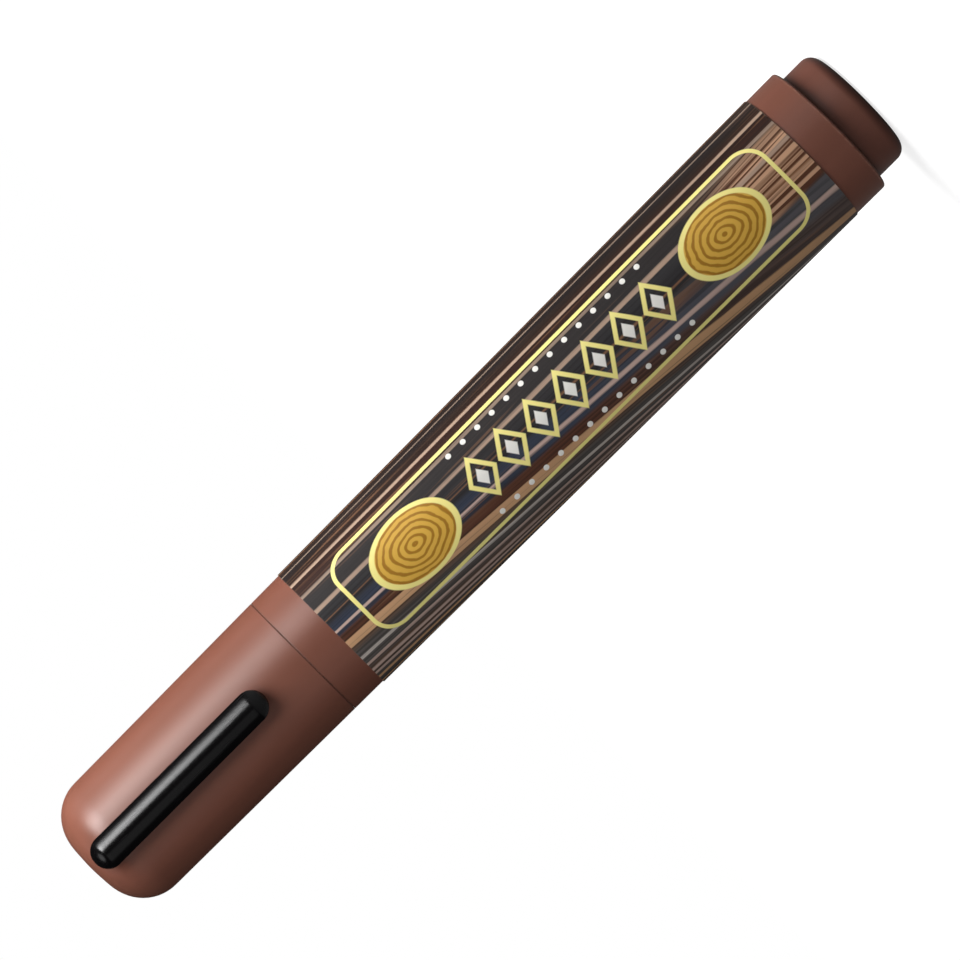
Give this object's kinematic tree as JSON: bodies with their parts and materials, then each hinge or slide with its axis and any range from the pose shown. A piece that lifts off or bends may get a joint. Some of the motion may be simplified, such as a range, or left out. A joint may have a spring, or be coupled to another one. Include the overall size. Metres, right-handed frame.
{
  "type": "touch-up marker",
  "caption": "Tapered round felt marker for touching up wood: pull-off cap with a pocket clip, wood-grain printed film, tail plug, fibre ink reservoir and chisel nib.",
  "frame": {"origin": "middle of the tail plug's end face, on which the marker stands", "axes": "+Z along the pen to the closed end of the cap, -Y the side the pocket clip is on"},
  "size_m": [0.0184, 0.0204, 0.1252],
  "materials": {
    "barrel_brown": "satin moulded",
    "film_print": "glossy wood-grain print",
    "plug_brown": "satin moulded",
    "inked_fibre": "fibre soaked with ink",
    "wrap_film": "clear film",
    "holder_black": "satin moulded",
    "nib_felt": "pressed felt, inked",
    "cap_brown": "satin moulded",
    "liner_natural": "natural",
    "clip_black": "glossy moulded"
  },
  "bodies": {
    "pen": {"barrel": "barrel_brown", "label_film": "film_print", "tail_plug": "plug_brown", "ink_reservoir": "inked_fibre", "reservoir_wrap": "wrap_film", "nib_holder": "holder_black", "nib": "nib_felt"},
    "liner": {"cap_liner": "liner_natural"},
    "cap": {"cap_shell": "cap_brown"},
    "clip": {"cap_clip": "clip_black"}
  },
  "joints": [
    {"name": "cap_pull", "type": "slide", "parent": "pen", "child": "liner", "axis": [0, 0, 1], "range_m": [0, 0.04]},
    {"name": "cap_twist", "type": "hinge", "parent": "liner", "child": "cap", "pos_m": [0, 0, 0.09095], "axis": [0, 0, 1], "continuous": true},
    {"name": "clip_flex", "type": "hinge", "parent": "cap", "child": "clip", "pos_m": [0, -0.00825, 0.12205], "axis": [-1, 0, 0], "range_deg": [0, 4], "stiffness_Nm_per_rad": 0.5}
  ]
}
